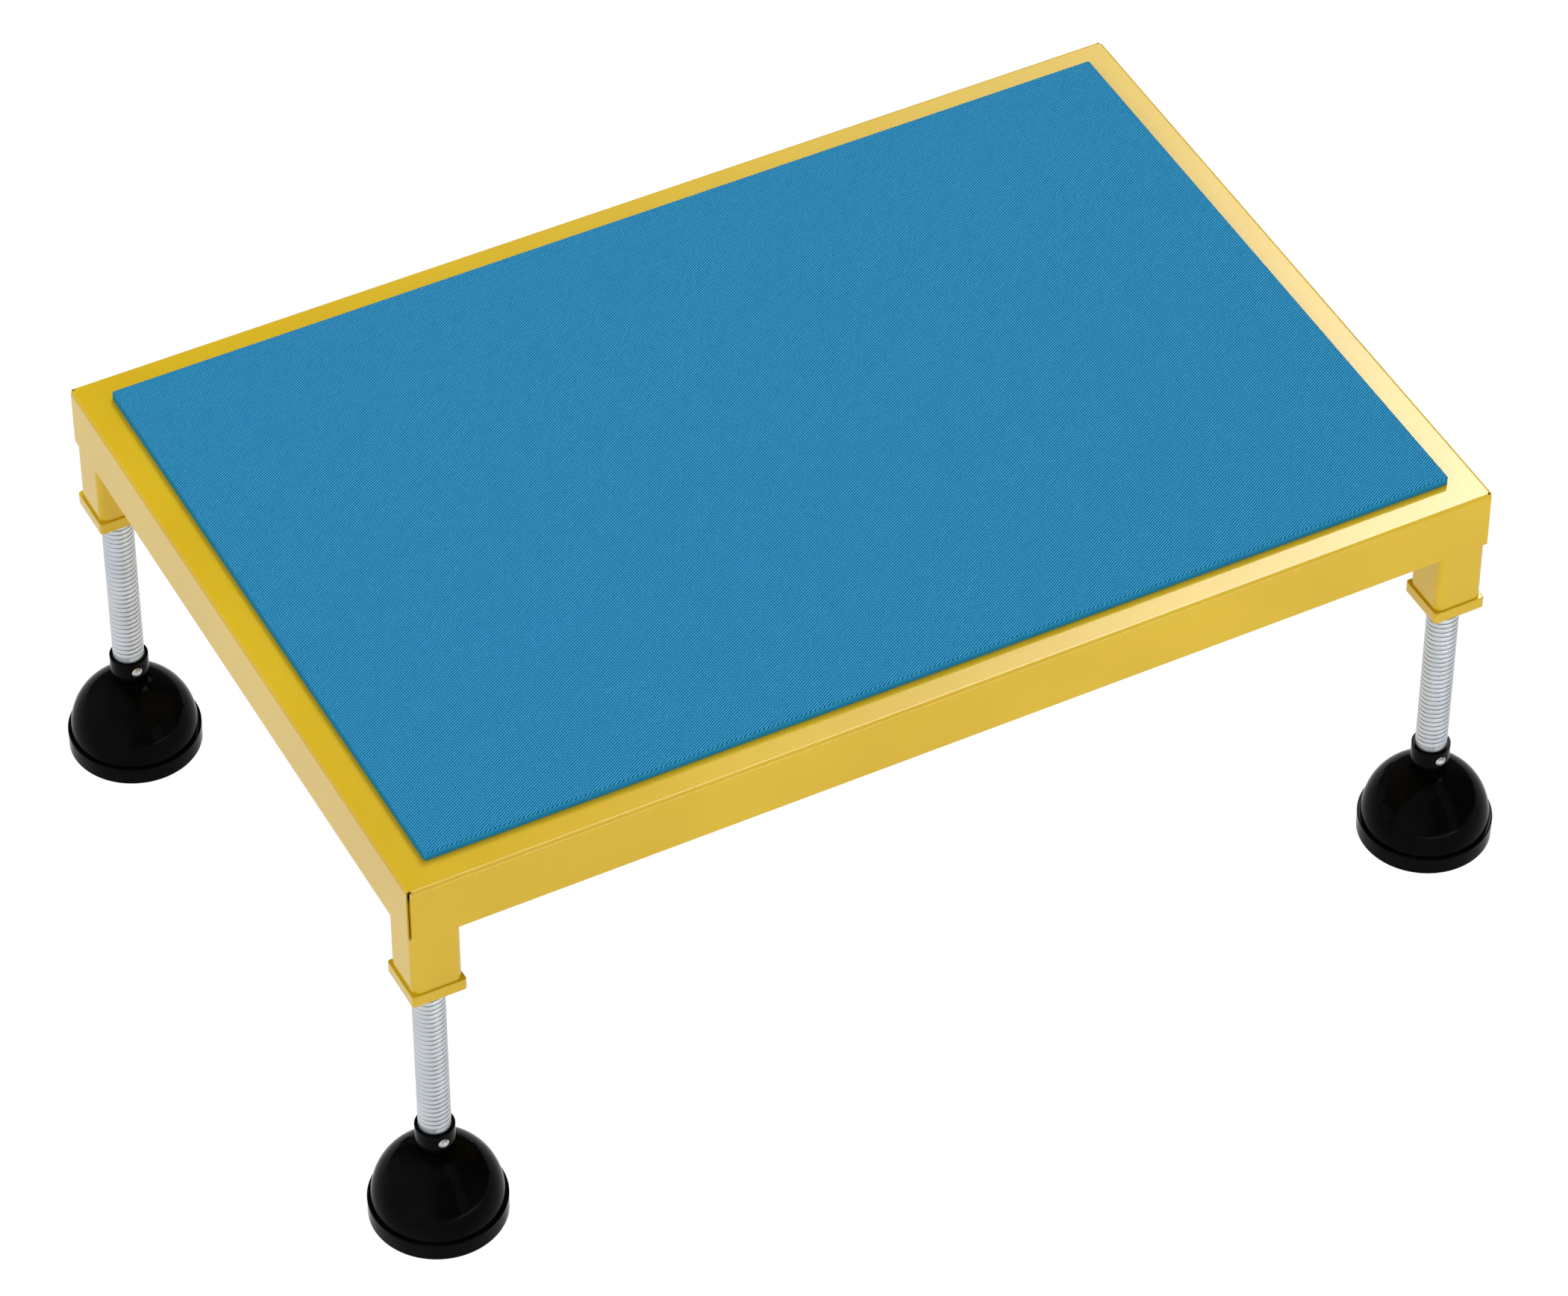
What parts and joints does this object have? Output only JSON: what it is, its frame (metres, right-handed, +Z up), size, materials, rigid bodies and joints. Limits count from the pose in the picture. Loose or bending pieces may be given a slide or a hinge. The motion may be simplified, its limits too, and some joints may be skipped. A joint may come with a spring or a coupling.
{
  "type": "adjustable poolside platform",
  "caption": "Low rectangular standing platform: yellow folded-steel deck with a blue grip mat, on screw-adjustable legs with rubber suction cup feet.",
  "frame": {"origin": "on the floor under the middle of the deck", "axes": "+X along the deck's long side, +Y from front to back, +Z up from the floor"},
  "size_m": [0.963, 0.663, 0.3717],
  "materials": {
    "yellow_enamel": "smooth glossy yellow enamel on steel",
    "blue_mat": "blue grip mat with fine slanting ribs",
    "zinc_steel": "bright zinc plating",
    "bright_steel": "polished steel",
    "black_collar": "smooth black nylon",
    "black_rubber": "smooth glossy black rubber"
  },
  "bodies": {
    "frame": {"deck_pan": "yellow_enamel", "deck_mat": "blue_mat", "deck_rail_left": "yellow_enamel", "deck_rail_right": "yellow_enamel", "leg_tube_front_left": "yellow_enamel", "leg_tube_front_right": "yellow_enamel", "leg_tube_rear_left": "yellow_enamel", "leg_tube_rear_right": "yellow_enamel", "leg_plate_front_left": "yellow_enamel", "leg_plate_front_right": "yellow_enamel", "leg_plate_rear_left": "yellow_enamel", "leg_plate_rear_right": "yellow_enamel"},
    "cup_front_left": {"suction_cup_front_left": "black_rubber", "cup_washer_front_left": "zinc_steel"},
    "screw_front_left": {"threaded_rod_front_left": "zinc_steel", "swivel_collar_front_left": "black_collar", "collar_pin_front_left": "bright_steel", "cup_screw_front_left": "zinc_steel"},
    "cup_front_right": {"suction_cup_front_right": "black_rubber", "cup_washer_front_right": "zinc_steel"},
    "screw_front_right": {"threaded_rod_front_right": "zinc_steel", "swivel_collar_front_right": "black_collar", "collar_pin_front_right": "bright_steel", "cup_screw_front_right": "zinc_steel"},
    "cup_rear_left": {"suction_cup_rear_left": "black_rubber", "cup_washer_rear_left": "zinc_steel"},
    "screw_rear_left": {"threaded_rod_rear_left": "zinc_steel", "swivel_collar_rear_left": "black_collar", "collar_pin_rear_left": "bright_steel", "cup_screw_rear_left": "zinc_steel"},
    "cup_rear_right": {"suction_cup_rear_right": "black_rubber", "cup_washer_rear_right": "zinc_steel"},
    "screw_rear_right": {"threaded_rod_rear_right": "zinc_steel", "swivel_collar_rear_right": "black_collar", "collar_pin_rear_right": "bright_steel", "cup_screw_rear_right": "zinc_steel"}
  },
  "joints": [
    {"name": "front_left_height", "type": "slide", "parent": "frame", "child": "cup_front_left", "axis": [0, 0, 1], "range_m": [-0.04, 0.04]},
    {"name": "front_left_screw", "type": "hinge", "parent": "cup_front_left", "child": "screw_front_left", "pos_m": [-0.4285, -0.2785, 0.0797], "axis": [0, 0, 1], "range_deg": [-3130, 3130]},
    {"name": "front_right_height", "type": "slide", "parent": "frame", "child": "cup_front_right", "axis": [0, 0, 1], "range_m": [-0.04, 0.04]},
    {"name": "front_right_screw", "type": "hinge", "parent": "cup_front_right", "child": "screw_front_right", "pos_m": [0.4285, -0.2785, 0.0797], "axis": [0, 0, 1], "range_deg": [-3130, 3130]},
    {"name": "rear_left_height", "type": "slide", "parent": "frame", "child": "cup_rear_left", "axis": [0, 0, 1], "range_m": [-0.04, 0.04]},
    {"name": "rear_left_screw", "type": "hinge", "parent": "cup_rear_left", "child": "screw_rear_left", "pos_m": [-0.4285, 0.2785, 0.0797], "axis": [0, 0, 1], "range_deg": [-3130, 3130]},
    {"name": "rear_right_height", "type": "slide", "parent": "frame", "child": "cup_rear_right", "axis": [0, 0, 1], "range_m": [-0.04, 0.04]},
    {"name": "rear_right_screw", "type": "hinge", "parent": "cup_rear_right", "child": "screw_rear_right", "pos_m": [0.4285, 0.2785, 0.0797], "axis": [0, 0, 1], "range_deg": [-3130, 3130]}
  ],
  "couplings": [
    {"joint": "front_left_height", "follows": "front_left_screw", "m_per_rad": 0.00073211},
    {"joint": "front_right_height", "follows": "front_right_screw", "m_per_rad": 0.00073211},
    {"joint": "rear_left_height", "follows": "rear_left_screw", "m_per_rad": 0.00073211},
    {"joint": "rear_right_height", "follows": "rear_right_screw", "m_per_rad": 0.00073211}
  ]
}
